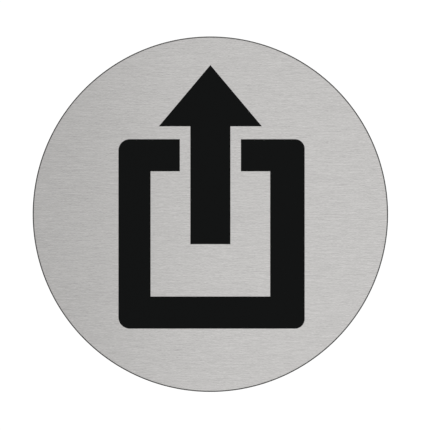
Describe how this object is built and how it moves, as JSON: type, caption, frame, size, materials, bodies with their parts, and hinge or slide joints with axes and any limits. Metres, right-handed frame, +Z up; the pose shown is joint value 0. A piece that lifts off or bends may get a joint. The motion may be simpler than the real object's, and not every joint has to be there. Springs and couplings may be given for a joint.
{
  "type": "exit door sign",
  "caption": "Round brushed steel door sign with a black exit symbol, an arrow leaving an open square, and an adhesive foam pad on its back.",
  "frame": {"origin": "centre of the foam pad's sticky face, which lies on the door or wall", "axes": "+Y into the wall, so the sign faces -Y; +Z up, the way the arrow points; +X to the right for someone who reads the sign"},
  "size_m": [0.083, 0.002, 0.083],
  "materials": {
    "brushed_steel": "satin, brushed in straight level lines",
    "black_enamel": "flat black enamel fired into the etching",
    "adhesive_foam": "matt closed-cell foam with a slightly glossy sticky face"
  },
  "bodies": {
    "root": {"steel_disc": "brushed_steel", "arrow_enamel": "black_enamel", "room_enamel": "black_enamel", "foam_pad": "adhesive_foam"}
  },
  "joints": []
}
